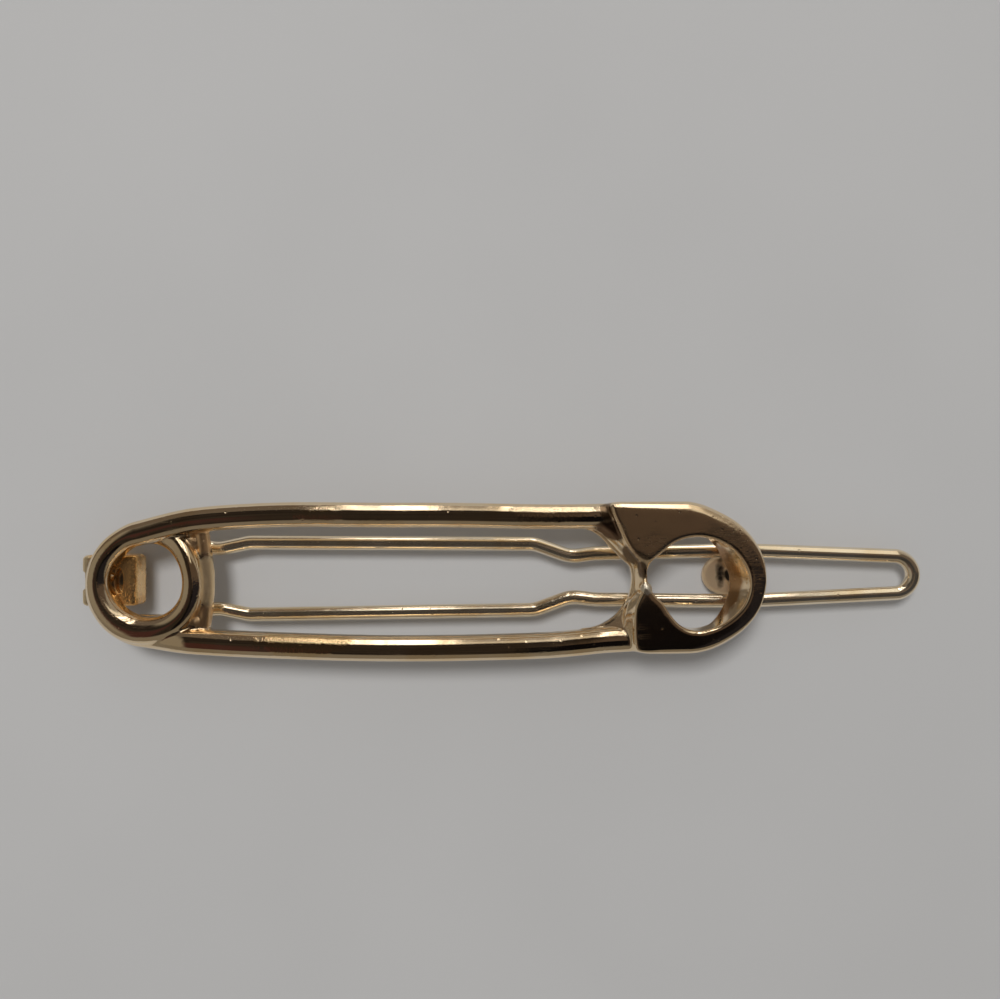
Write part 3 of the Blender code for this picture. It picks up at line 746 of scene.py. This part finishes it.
@dataclass
class CastFront:
    """The cast front: upper bar, coil, link, lower bar, clasp, strut and small lumps, run into one.

    The tables say what share of its size a form has at an angle, or at a share of the bars' run. Those of the
    link and of the clasp's left have points, as shares of the coil's radius and of the clasp's half width.
    """

    sizes: ClipSizes
    finish: PlatedGold
    bar_height: float = 0.0024
    bar_crown_share: float = 0.88
    bar_half_spread: float = 0.0060
    bar_end_in_clasp: float = 0.0024
    ring_width: float = 0.0023
    tuck_drop: float = 0.0011
    rise_drop: float = 0.0009
    rise_length: float = 0.0055
    top_bar_angle: float = 100
    blend_angle: float = 24
    ring_start_angle: float = 106
    ring_turn_angle: float = 349
    tuck_angle: float = 80
    link_width: float = 0.0012
    link_height: float = 0.0013
    link_width_shares: Pair = (0.75, 1.2)
    clasp_height: float = 0.0030
    clasp_offset: float = 0.00014
    clasp_edge_radius: float = 0.0006
    clasp_round_share: float = 0.42
    clasp_draft: float = 0.0010
    clasp_knee: Pair = (0.8, 0.0018)
    least_slant: float = math.sqrt(0.5)
    neck_dip: float = 0.0007
    eye_ledge: float = 0.0013
    eye_radius: float = 0.00475
    eye_drop: float = 0.00025
    eye_edge_radius: float = 0.0003
    strut_width: float = 0.0013
    strut_heights: Pair = (0.0009, 0.0024)
    opening_end_radius: float = 0.00485
    crown_steps: int = 14
    ring_steps: int = 140
    strand_steps: int = 36
    bar_steps: int = 12
    strut_steps: int = 60
    round_end_steps: int = 90
    outline_steps: int = 10
    edge_steps: int = 8
    bead_sides: int = 24
    voxel: float = 0.00011
    passes: int = 7

    top_bar_shares: Table = (
        (0.052, 0.915), (0.104, 0.985), (0.19, 1.035), (0.304, 1.06), (0.465, 1.045), (0.626, 1.035),
        (0.76, 1.01), (0.855, 1), (1, 1.015),
    )
    low_bar_shares: Table = (
        (0.061, 0.95), (0.142, 1), (0.209, 1.03), (0.304, 1.063), (0.408, 1.093), (0.522, 1.107),
        (0.664, 1.102), (0.807, 1.075), (0.883, 1.03), (0.93, 0.995), (1, 0.967),
    )
    coil_shares: Table = (
        (100, 1.005, 0.96), (120, 1.005, 0.92), (137, 1.005, 0.95), (155, 1.02, 0.93), (180, 1.035, 0.93),
        (210, 1.04, 1.05), (235, 1.045, 1.15), (255, 1.03, 1.15), (270, 1.01, 1.12), (300, 1, 1.05),
        (330, 0.965, 0.93), (360, 0.92, 0.84), (390, 0.925, 0.84), (420, 0.96, 0.9), (440, 0.975, 0.9),
        (455, 0.965, 0.85),
    )
    low_strand_shares: Table = (
        (165, 0.98), (180, 1.07), (197, 1.125), (215, 1.125), (240, 1.13), (258, 1.13),
    )
    link_shares: Table = ((1.03, 1.2), (1.09, 0.68), (1.14, 0), (1.12, -0.64), (1.07, -1.24))
    clasp_end_shares: Table = (
        (-90, 1), (-60, 0.975), (-42, 0.985), (-20, 1), (15, 1), (45, 0.968), (65, 0.955), (80, 0.98),
        (90, 1),
    )
    clasp_left_shares: Table = (
        (0, 1), (-0.36, 1), (-0.72, 1), (-0.95, 0.997), (-1.045, 0.965), (-1.04, 0.88), (-0.965, 0.72),
        (-0.875, 0.51), (-0.765, 0.33), (-0.66, 0.2), (-0.62, 0.06), (-0.618, -0.06), (-0.64, -0.18),
        (-0.695, -0.3), (-0.735, -0.42), (-0.745, -0.62), (-0.74, -0.84), (-0.715, -0.945), (-0.63, -0.985),
        (-0.45, -1), (0, -1),
    )
    eye_shares: Table = (
        (-22, 1.045), (0, 1.05), (30, 0.985), (62, 0.915), (92, 0.89), (115, 0.885), (140, 0.895),
        (158, 0.98), (180, 0.97), (196, 0.885), (212, 0.8), (232, 0.845), (252, 0.94), (270, 0.985),
        (292, 0.98), (312, 0.995), (338, 1.045), (360, 1.05), (390, 0.985),
    )
    bead_places: Table = (
        (0.01334, -0.00098, 0.0022, 0.0007, 0.0008), (-0.03051, 0.00371, 0.0008, 0.0009, 0.0007),
        (-0.0302, -0.0041, 0.0009, 0.0009, 0.0008), (-0.0300, -0.0029, 0.0008, 0.0006, 0.0007),
    )
    clasp_turn_shares: Table = (
        (0, 0.5, 0, 0, 1), (32, 1, 0, 0, 0.8), (52, 1.5, 0, 0, 0.35), (70, 1.8, 0, 0, 0),
        (95, 1.8, 0, 0, 0), (128, 1.4, 0.1, 0, 0), (142, 1, 0.2, 0, 0), (153, 0.8, 0.2, 0, 0),
        (163, 0.5, 0.15, 0.6, 0), (171, 0.5, 0.1, 1, 0), (180, 0.5, 0.1, 0.6, 0), (188, 0.5, 0.2, 0, 0),
        (200, 0.4, 0.7, 0, 0), (212, 0.4, 1, 0, 0), (226, 0.5, 0.9, 0, 0), (236, 0.9, 0.3, 0, 0),
        (246, 1.2, 0, 0, 0), (290, 1.2, 0, 0, 0), (308, 1, 0, 0, 0.35), (330, 0.6, 0, 0, 0.8),
        (360, 0.5, 0, 0, 1),
    )
    strut_shares: Table = (
        (-90, 1, 0.6, 0.08), (-45, 1, 0.7, 0.08), (0, 1, 1, 0.1), (15, 0.985, 1, 0.16),
        (27, 0.89, 0.98, 0.3), (38, 0.85, 0.95, 0.4), (50, 0.85, 0.93, 0.4), (62, 0.9, 0.92, 0.35),
        (74, 0.95, 0.92, 0.3), (90, 1, 0.92, 0.3),
    )

    def crown(self, width: float, crest: float) -> list[Pair]:
        """A bar's section: a flat back, straight sides and a round crown, as across and height pairs."""
        half, back = width / 2, self.sizes.back_z
        rise = min(half, crest - back) * self.bar_crown_share
        pairs = [(-half, back)]
        for step in range(self.crown_steps + 1):
            turn = math.pi * (1 - step / self.crown_steps)
            pairs.append((half * math.cos(turn), crest - rise + rise * math.sin(turn)))
        return [*pairs, (half, back)]

    def bar_middle(self, start: Vector, table: Table, side: Side) -> list[Vector]:
        """The centre line of a bar, from a point of the coil into the clasp."""
        begin = self.sizes.ring_centre.x
        run = self.sizes.clasp_x - self.sizes.clasp_width / 2 + self.bar_end_in_clasp - begin
        spread = side.value * self.bar_half_spread
        places = [(begin + run * along, spread * out) for along, out in table]
        return spline_through([start, *places], self.bar_steps)

    def coil_point(self, angle: float, table: Table | None = None) -> Vector:
        """The coil's centre line, or another line by its table, at an angle from its +X side."""
        radius = self.sizes.ring_radius * share_at(table or self.coil_shares, angle)
        return polar(self.sizes.ring_centre, radius, angle)

    def coil_width(self, angle: float) -> float:
        """The coil's width at an angle."""
        return self.ring_width * share_at(self.coil_shares, angle, column=2)

    def top_bar(self, skin: Skin) -> None:
        """Adds the upper bar, which runs on into the coil."""
        crest = self.sizes.back_z + self.bar_height
        lead = self.crown_steps
        leads = [1 - step / lead for step in range(lead)]
        path = [self.coil_point(self.top_bar_angle + self.blend_angle * share) for share in leads]
        path += self.bar_middle(self.coil_point(self.top_bar_angle), self.top_bar_shares, Side.UPPER)
        wide, narrow = self.sizes.bar_width, self.coil_width(self.top_bar_angle + self.blend_angle)
        insides = [1 - smooth(index / lead) for index in range(len(path))]
        skin.sweep(path, [self.crown(wide + (narrow - wide) * inside, crest) for inside in insides])

    def coil(self, skin: Skin) -> None:
        """Adds the coil: down the left and up the right, to pass under the upper bar."""
        crest = self.sizes.back_z + self.bar_height
        path, sections = [], []
        for step in range(self.ring_steps + 1):
            turned = self.ring_turn_angle * step / self.ring_steps
            angle = self.ring_start_angle + turned
            tuck = smooth((turned - self.ring_turn_angle + self.tuck_angle) / self.tuck_angle)
            path.append(self.coil_point(angle))
            sections.append(self.crown(self.coil_width(angle), crest - self.tuck_drop * tuck))
        skin.sweep(path, sections)

    def low_bar(self, skin: Skin) -> None:
        """Adds the lower bar: it follows the coil's outer side from under it, leaves it and rises."""
        crest = self.sizes.back_z + self.bar_height
        strand = self.low_strand_shares
        under = [self.coil_point(angle, strand) for angle in places_along(strand, self.strand_steps)]
        leaves_at = under.pop()
        path = under + self.bar_middle(leaves_at, self.low_bar_shares, Side.LOWER)
        sections = []
        for index, point in enumerate(path):
            away = (point - leaves_at).length if index > len(under) else 0.0
            drop = self.rise_drop * (1 - smooth(away / self.rise_length))
            sections.append(self.crown(self.sizes.bar_width, crest - drop))
        skin.sweep(path, sections)

    def eye_reach(self, angle: float) -> float:
        """The eye's radius at an angle from its +X side."""
        return self.eye_radius * share_at(self.eye_shares, angle % FULL_TURN)

    def clasp_outline(self) -> list[Vector]:
        """The clasp's outer outline, anticlockwise from the lower end of its round end."""
        half = self.sizes.clasp_width / 2
        middle = Vector((self.sizes.clasp_x, self.clasp_offset))
        outline = []
        for step in range(self.round_end_steps):
            angle = HALF_TURN * (step / self.round_end_steps - 0.5)
            outline.append(polar(middle, half * share_at(self.clasp_end_shares, angle), angle))
        left = spline_through(self.clasp_left_shares, self.outline_steps)[:-1]
        return outline + [middle + share * half for share in left]

    def clasp(self, skin: Skin) -> None:
        """Adds the raised clasp plate round its eye, with rounded edges and a dip across its neck."""
        outline = self.clasp_outline()
        eye = Vector((self.sizes.eye_x, -self.eye_drop))
        back = self.sizes.back_z
        knee_share, knee_height = self.clasp_knee
        # The foot, the knee, the steps of both rounded edges and the eye's foot.
        rings: list[list[Triple]] = [[] for _ in range(2 + 2 * (self.edge_steps + 1) + 1)]
        for index, point in enumerate(outline):
            ray = point - eye
            angle = math.degrees(math.atan2(ray.y, ray.x)) % FULL_TURN
            ray.normalize()
            shares = [share_at(self.clasp_turn_shares, angle, column) for column in range(1, 5)]
            edge, draft, dip, ledge = (max(share, 0.0) for share in shares)
            along = (outline[(index + 1) % len(outline)] - outline[index - 1]).normalized()
            slant = max(abs(ray.cross(along)), self.least_slant)
            hole = eye + ray * self.eye_reach(angle)
            most = (point - hole).length * self.clasp_round_share
            front = back + self.clasp_height - self.neck_dip * dip
            lean = self.clasp_draft * draft
            rings[0].append((point.x - lean, point.y, back))
            rings[1].append((point.x - lean * knee_share, point.y, back + knee_height))
            for step, turn in enumerate(quarter_turns(self.edge_steps)):
                for place, radius, inwards, ring in (
                    (point, min(self.clasp_edge_radius * edge, most), 1, rings[2 + step]),
                    (hole, min(self.eye_edge_radius, most), -1, rings[-2 - step]),
                ):
                    step_in = radius * (1 - math.cos(turn)) / slant * inwards
                    ring.append((*(place - ray * step_in), front - radius * (1 - math.sin(turn))))
            rings[-1].append((*(hole - ray * self.eye_ledge * ledge), back))
        skin.add(rings, tube=False)

    def strut(self, skin: Skin) -> None:
        """Adds the strut, whose face slopes from its crest down to the round end of the long opening."""
        waist = self.sizes.eye_x - self.eye_reach(HALF_TURN)
        middle = Vector((waist - self.strut_width - self.opening_end_radius, 0.0))
        back = self.sizes.back_z
        low, high = self.strut_heights
        path, sections = [], []
        for angle in places_along(self.strut_shares, self.strut_steps):
            reach, tall, flat = (share_at(self.strut_shares, angle, column) for column in (1, 2, 3))
            opening = self.opening_end_radius * reach
            half = (self.opening_end_radius + self.strut_width - opening) / 2
            crest = half * (2 * flat - 1)
            section = [(half, back)]
            for slope in range(self.edge_steps + 1):
                share = slope / self.edge_steps
                height = back + low + (high * tall - low) * smooth(share)
                section.append((half + (crest - half) * share, height))
            path.append(polar(middle, opening + half, angle))
            sections.append([*section, (-half, back + high * tall), (-half, back)])
        skin.sweep(path, sections)

    def link(self, skin: Skin) -> None:
        """Adds the low link that shows behind the coil's right side and joins the bars."""
        sizes = self.sizes
        places = [sizes.ring_centre + Vector(share) * sizes.ring_radius for share in self.link_shares]
        path = spline_through(places, self.bar_steps)
        low, high = self.link_width_shares
        sections = []
        for index in range(len(path)):
            share = low + (high - low) * math.sin(math.pi * index / (len(path) - 1))
            sections.append(self.crown(self.link_width * share, sizes.back_z + self.link_height))
        skin.sweep(path, sections)

    def beads(self, skin: Skin) -> None:
        """Adds the casting's small lumps, on its neck and in the corners behind the coil."""
        for x, y, height, reach, tall in self.bead_places:
            rings = []
            for level in range(1, self.edge_steps):
                rise = math.pi * (level / self.edge_steps - 0.5)
                flat = reach * math.cos(rise)
                z = self.sizes.back_z + height + tall * math.sin(rise)
                rings.append(oval((x, y, z), (flat, flat), self.bead_sides))
            skin.add(rings)

    def build(self) -> None:
        """Builds the casting and puts it in its node's place."""
        skin = Skin()
        for form in (self.top_bar, self.coil, self.link, self.low_bar, self.clasp, self.strut, self.beads):
            form(skin)
        mesh = melt(skin.mesh("front_casting"), self.voxel, self.passes)
        dress("front_casting", mesh, self.finish, "front", "front_frame")


@dataclass
class Tongue:
    """The tongue: one spring wire, with its ends turned in to the lug and its far end a round bend."""

    sizes: ClipSizes
    finish: PlatedGold
    lug_end_depth: float = 0.0019
    leg_lug_gap: float = 0.0010
    flare_length: float = 0.0061
    pinch_half: float = 0.0029
    pinch_behind_ring: float = 0.0004
    belly_half: float = 0.0036
    belly_from_pinch: float = 0.0034
    shoulder_half: float = 0.0033
    shoulder_to_kink: float = 0.0036
    kink_half: float = 0.0020
    kink_before_neck: float = 0.0070
    throat_half: float = 0.0023
    throat_from_kink: float = 0.0024
    leg_post_gap: float = 0.00045
    tip_half: float = 0.00186
    bend_radius: float = 0.0034
    end_bend_radius: float = 0.0013
    bend_step: float = 4
    straight_step: float = 0.0004
    sides: int = 32

    def leg(self, neck_x: float) -> list[Vector]:
        """The centre line of the upper leg, from its end inside the lug to where the tip's bend starts."""
        sizes = self.sizes
        radius = sizes.wire_diameter / 2
        flare = sizes.lug_width / 2 + self.leg_lug_gap + radius
        pinch_x = sizes.ring_centre.x + sizes.ring_outer - self.pinch_behind_ring
        kink_x = neck_x - self.kink_before_neck
        points = [
            (sizes.lug_x, sizes.lug_width / 2 - self.lug_end_depth),
            (sizes.lug_x, flare),
            (sizes.lug_x + self.flare_length, flare),
            (pinch_x, self.pinch_half),
            (pinch_x + self.belly_from_pinch, self.belly_half),
            (kink_x - self.shoulder_to_kink, self.shoulder_half),
            (kink_x, self.kink_half),
            (kink_x + self.throat_from_kink, self.throat_half),
            (sizes.post_x, sizes.stud_post_radius + self.leg_post_gap + radius),
            (sizes.tip_x - radius - self.tip_half, self.tip_half),
        ]
        radii = [self.bend_radius] * len(points)
        radii[1] = self.end_bend_radius
        return rounded_corners(points, radii, self.bend_step)

    def build(self, neck_x: float) -> None:
        """Builds the wire and puts it in its node's place.

        Args:
            neck_x: Where the clasp's neck is, which the kinks are placed from.
        """
        radius = self.sizes.wire_diameter / 2
        leg = self.leg(neck_x)
        centre = Vector((self.sizes.tip_x - radius - self.tip_half, 0.0))
        steps = round(HALF_TURN / self.bend_step)
        angles = [QUARTER_TURN - HALF_TURN * step / steps for step in range(1, steps)]
        bend = [polar(centre, self.tip_half, angle) for angle in angles]
        route = leg + bend + [Vector((point.x, -point.y)) for point in reversed(leg)]
        fine = [route[0]]
        for start, end in zip(route, route[1:]):
            cuts = max(1, round((end - start).length / self.straight_step))
            fine += [start.lerp(end, (cut + 1) / cuts) for cut in range(cuts)]
        turns = round_turns(self.sides)
        section = [(radius * math.cos(turn), self.sizes.wire_z + radius * math.sin(turn)) for turn in turns]
        skin = Skin()
        skin.sweep(fine, [section] * len(fine))
        dress("tongue_spring", skin.mesh("tongue_spring"), self.finish, "tongue", "tongue_wire")


@dataclass
class HingeLug:
    """The lug under the coil: a small rounded block, bored for the wire's ends, notched and pitted on top."""

    sizes: ClipSizes
    finish: PlatedGold
    foot_radius: float = 0.0024
    top_radius: float = 0.0005
    side_radius: float = 0.0004
    bore_radii: Pair = (0.00078, 0.00078)
    notch_radii: Pair = (0.0006, 0.0009)
    slot_forward: float = 0.0010
    slot_radii: Pair = (0.0004, 0.0012)
    slot_depth: float = 0.0008
    side_steps: int = 5
    arc_step: float = 8
    voxel: float = 0.00009
    passes: int = 6

    def build(self) -> None:
        """Builds the lug and puts it in its node's place."""
        sizes = self.sizes
        half, top = sizes.lug_length / 2, sizes.back_z
        skin = Skin()
        rings = []
        for side in (-1, 1):
            for turn in quarter_turns(self.side_steps):
                turn = turn if side < 0 else math.pi / 2 - turn
                inset = self.side_radius * (1 - math.sin(turn))
                across = side * (sizes.lug_width / 2 - self.side_radius * (1 - math.cos(turn)))
                low, high, reach = inset, top - inset, half - inset
                corners = [(-reach, low), (reach, low), (reach, high), (-reach, high)]
                radii = [self.foot_radius, self.foot_radius, self.top_radius, self.top_radius]
                outline = rounded_corners(corners, radii, self.arc_step, closed=True)
                rings.append([(sizes.lug_x + point.x, across, point.y) for point in outline])
        skin.add(rings)
        through, down = (0.0, sizes.lug_width, 0.0), (0.0, 0.0, self.slot_depth)
        cutters = (
            cylinder("bore", (sizes.lug_x, 0.0, sizes.wire_z), through, self.bore_radii),
            cylinder("notch", (sizes.lug_x - half, 0.0, top), down, self.notch_radii),
            cylinder("slot", (sizes.lug_x + self.slot_forward, 0.0, top), down, self.slot_radii),
        )
        mesh = melt(skin.mesh("lug_fitting"), self.voxel, self.passes, cutters)
        dress("lug_fitting", mesh, self.finish, "front", "hinge_lug")


@dataclass
class CatchStud:
    """The stud under the clasp's round end: a post whose head, long towards the hinge, holds the wire."""

    sizes: ClipSizes
    finish: PlatedGold
    head_length: float = 0.0048
    head_width: float = 0.0041
    foot_share: float = 0.55
    fillet: float = 0.00025
    sides: int = 72
    edge_steps: int = 8
    voxel: float = 0.00008
    passes: int = 5

    def build(self) -> None:
        """Builds the stud and puts it in its node's place."""
        sizes = self.sizes
        head_x = sizes.post_x + sizes.stud_post_radius + sizes.stud_post_inset - self.head_length / 2
        long_half, wide_half = self.head_length / 2, self.head_width / 2
        post, fillet, top = sizes.stud_post_radius, self.fillet, sizes.back_z
        head = sizes.stud_head_height
        levels = []
        for turn in quarter_turns(self.edge_steps):
            share = self.foot_share + (1 - self.foot_share) * math.sin(turn)
            levels.append((head / 2 * (1 - math.cos(turn)), head_x, long_half * share, wide_half * share))
        levels.append((head - fillet, head_x, long_half, wide_half))
        levels.append((head, head_x, long_half - fillet, wide_half - fillet))
        for turn in quarter_turns(self.edge_steps):
            radius = post - fillet * math.sin(turn)
            levels.append((head + fillet * (1 - math.cos(turn)), sizes.post_x, radius, radius))
        levels.append((top - fillet, sizes.post_x, post - fillet, post - fillet))
        levels.append((top, sizes.post_x, post, post))
        skin = Skin()
        skin.add([oval((x, 0.0, height), radii, self.sides) for height, x, *radii in levels])
        mesh = melt(skin.mesh("stud_fitting"), self.voxel, self.passes)
        dress("stud_fitting", mesh, self.finish, "front", "catch_stud")


# The studio


@dataclass(frozen=True)
class Patch:
    """A patch of the room that shows in the plating: its ends along X, its angles round X and its colour."""

    across: Pair
    turns: Pair
    colour: Colour
    soft: float = 0.01
    turn_soft: float = 3.0


LAMPLIGHT = (3.0, 2.9, 2.8)
ROOM_PATCHES = (
    Patch((0.07, 2), (-4.2, 90), (0.08, 0.059, 0.047), 0.03, 0.35),
    Patch((0.03, 2), (-90, -4.2), (0.003, 0.0025, 0.003), 0.03, 0.35),
    Patch((0.247, 2), (-90, -1), (0.014, 0.013, 0.016), 0.006, 1.5),
    Patch((-2, -0.26), (-60, -5), (0.05, 0.022, 0.02), 0.03),
    Patch((-2, -0.5), (-90, 90), (0.22, 0.2, 0.17), 0.08),
    Patch((-2, 2), (-180, -50), (0.17, 0.155, 0.135)),
    Patch((-2, 2), (45, 180), (0.28, 0.26, 0.24)),
    Patch((-2, -0.14), (45, 180), (0.12, 0.1, 0.085), 0.02),
    Patch((-0.14, 0.1), (42, 60), (0.5, 0.47, 0.43), 0.02),
    Patch((0.285, 0.46), (25, 110), (0.8, 0.77, 0.7)),
    Patch((-0.145, -0.13), (40, 110), LAMPLIGHT, 0.002),
    Patch((-0.115, -0.067), (40, 110), LAMPLIGHT, 0.003),
    Patch((0.031, 0.063), (40, 110), LAMPLIGHT, 0.003),
    Patch((0.108, 0.13), (40, 110), LAMPLIGHT, 0.003),
    Patch((0.147, 0.235), (38, 110), LAMPLIGHT, 0.005),
)


@dataclass
class Studio:
    """Floor, room, lamp and camera."""

    floor_size: float = 3.0
    camera_over: Triple = (-0.0005, 0.0077, 0.0076)
    camera_distance: float = 0.090
    nearest_in_view: float = 0.0018
    camera_tilt: float = -1.0
    clip_roll: float = 0.35
    roll_about_x: float = -0.008
    lens: float = 34.2
    lamp_place: Triple = (-0.08, 0.19, 0.56)
    lamp_size: float = 0.14
    lamp_watts: float = 1.92
    backdrop: Colour = (0.8, 0.79, 0.775)
    daylight: Colour = (0.35, 0.345, 0.337)
    shade: Colour = (0.022, 0.0175, 0.0145)
    cloud_scale: float = 9.0
    cloud_shares: Pair = (0.6, 1.4)

    def floor(self) -> None:
        """Lays the floor."""
        bm = bmesh.new()
        bmesh.ops.create_grid(bm, x_segments=1, y_segments=1, size=self.floor_size / 2)
        mesh = bpy.data.meshes.new("floor")
        bm.to_mesh(mesh)
        bm.free()
        mesh.materials.append(PaleFloor().material())
        floor = shown("floor", mesh)
        floor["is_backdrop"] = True

    def room(self) -> None:
        """Makes the world: a pale backdrop, daylight, and the room of patches that the plating shows."""
        world = bpy.data.worlds.new("room")
        bpy.context.scene.world = world
        graph = Graph(world)
        sight = graph.add("ShaderNodeTexCoord", out="Generated")
        x, y, z = (graph.add("ShaderNodeSeparateXYZ", None, {"Vector": sight}, out=axis) for axis in "XYZ")
        turn = y.maths("ARCTAN2", z) * math.degrees(1.0)
        cloudy = graph.noise(sight, self.cloud_scale, detail=3.0).rises(*CLOUD_RANGE)
        seen = graph.blend(cloudy, *(dimmed(self.shade, share) for share in self.cloud_shares))
        for patch in ROOM_PATCHES:
            share = x.between(*patch.across, patch.soft) * turn.between(*patch.turns, patch.turn_soft)
            seen = graph.blend(share, seen, patch.colour)
        camera = graph.add("ShaderNodeLightPath", out="Is Camera Ray")
        glossy = graph.add("ShaderNodeLightPath", out="Is Glossy Ray")
        level = graph.blend(camera, graph.blend(glossy, self.daylight, seen), self.backdrop)
        light = graph.add("ShaderNodeBackground", None, {"Color": level})
        graph.add("ShaderNodeOutputWorld", None, {"Surface": light})

    def lamp(self) -> None:
        """Hangs the soft lamp, beyond the upper bar. The plating shows the room's patches in its place."""
        data = bpy.data.lights.new("soft lamp", "AREA")
        data.size, data.energy = self.lamp_size, self.lamp_watts
        lamp = shown("soft lamp", data)
        lamp.location = self.lamp_place
        lamp.rotation_mode = "QUATERNION"
        lamp.rotation_quaternion = (-Vector(self.lamp_place)).to_track_quat("-Z", "Y")
        lamp.visible_glossy = False

    def camera(self) -> None:
        """Sets the camera straight over the clip, with the clip's slight roll and tilt in the photograph."""
        data = bpy.data.cameras.new("camera")
        data.lens = self.lens
        data.clip_start = self.nearest_in_view
        camera = shown("camera", data)
        pivot = Vector((self.roll_about_x, 0.0, 0.0))
        roll = Matrix.Translation(pivot) @ Matrix.Rotation(math.radians(self.clip_roll), 4, "Z")
        roll = roll @ Matrix.Translation(-pivot)
        tilt = Matrix.Rotation(math.radians(self.camera_tilt), 4, "X")
        over = Matrix.Translation(self.camera_over)
        away = Matrix.Translation((0.0, 0.0, self.camera_distance))
        camera.matrix_world = roll.inverted() @ over @ tilt.inverted() @ away
        bpy.context.scene.camera = camera

    def build(self) -> None:
        """Builds the studio."""
        for part in (self.floor, self.room, self.lamp, self.camera):
            part()
        bpy.context.scene.view_settings.view_transform = "Standard"


def box_now() -> list[list[float]]:
    """The shown object's box as plain numbers."""
    bpy.context.view_layer.update()
    return [list(corner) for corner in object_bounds()]


def main() -> None:
    """Builds the clip and the studio."""
    logging.basicConfig(level=logging.INFO, format="%(name)s: %(message)s")
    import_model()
    cad_box = box_now()
    sizes = ClipSizes()
    front = CastFront(sizes, CAST_PLATING)
    front.build()
    Tongue(sizes, SPRING_PLATING).build(sizes.eye_x - front.eye_reach(HALF_TURN))
    HingeLug(sizes, LUG_PLATING).build()
    CatchStud(sizes, STUD_PLATING).build()
    Studio().build()
    {"cad": cad_box, "visual": box_now()}


if __name__ == "__main__":
    main()
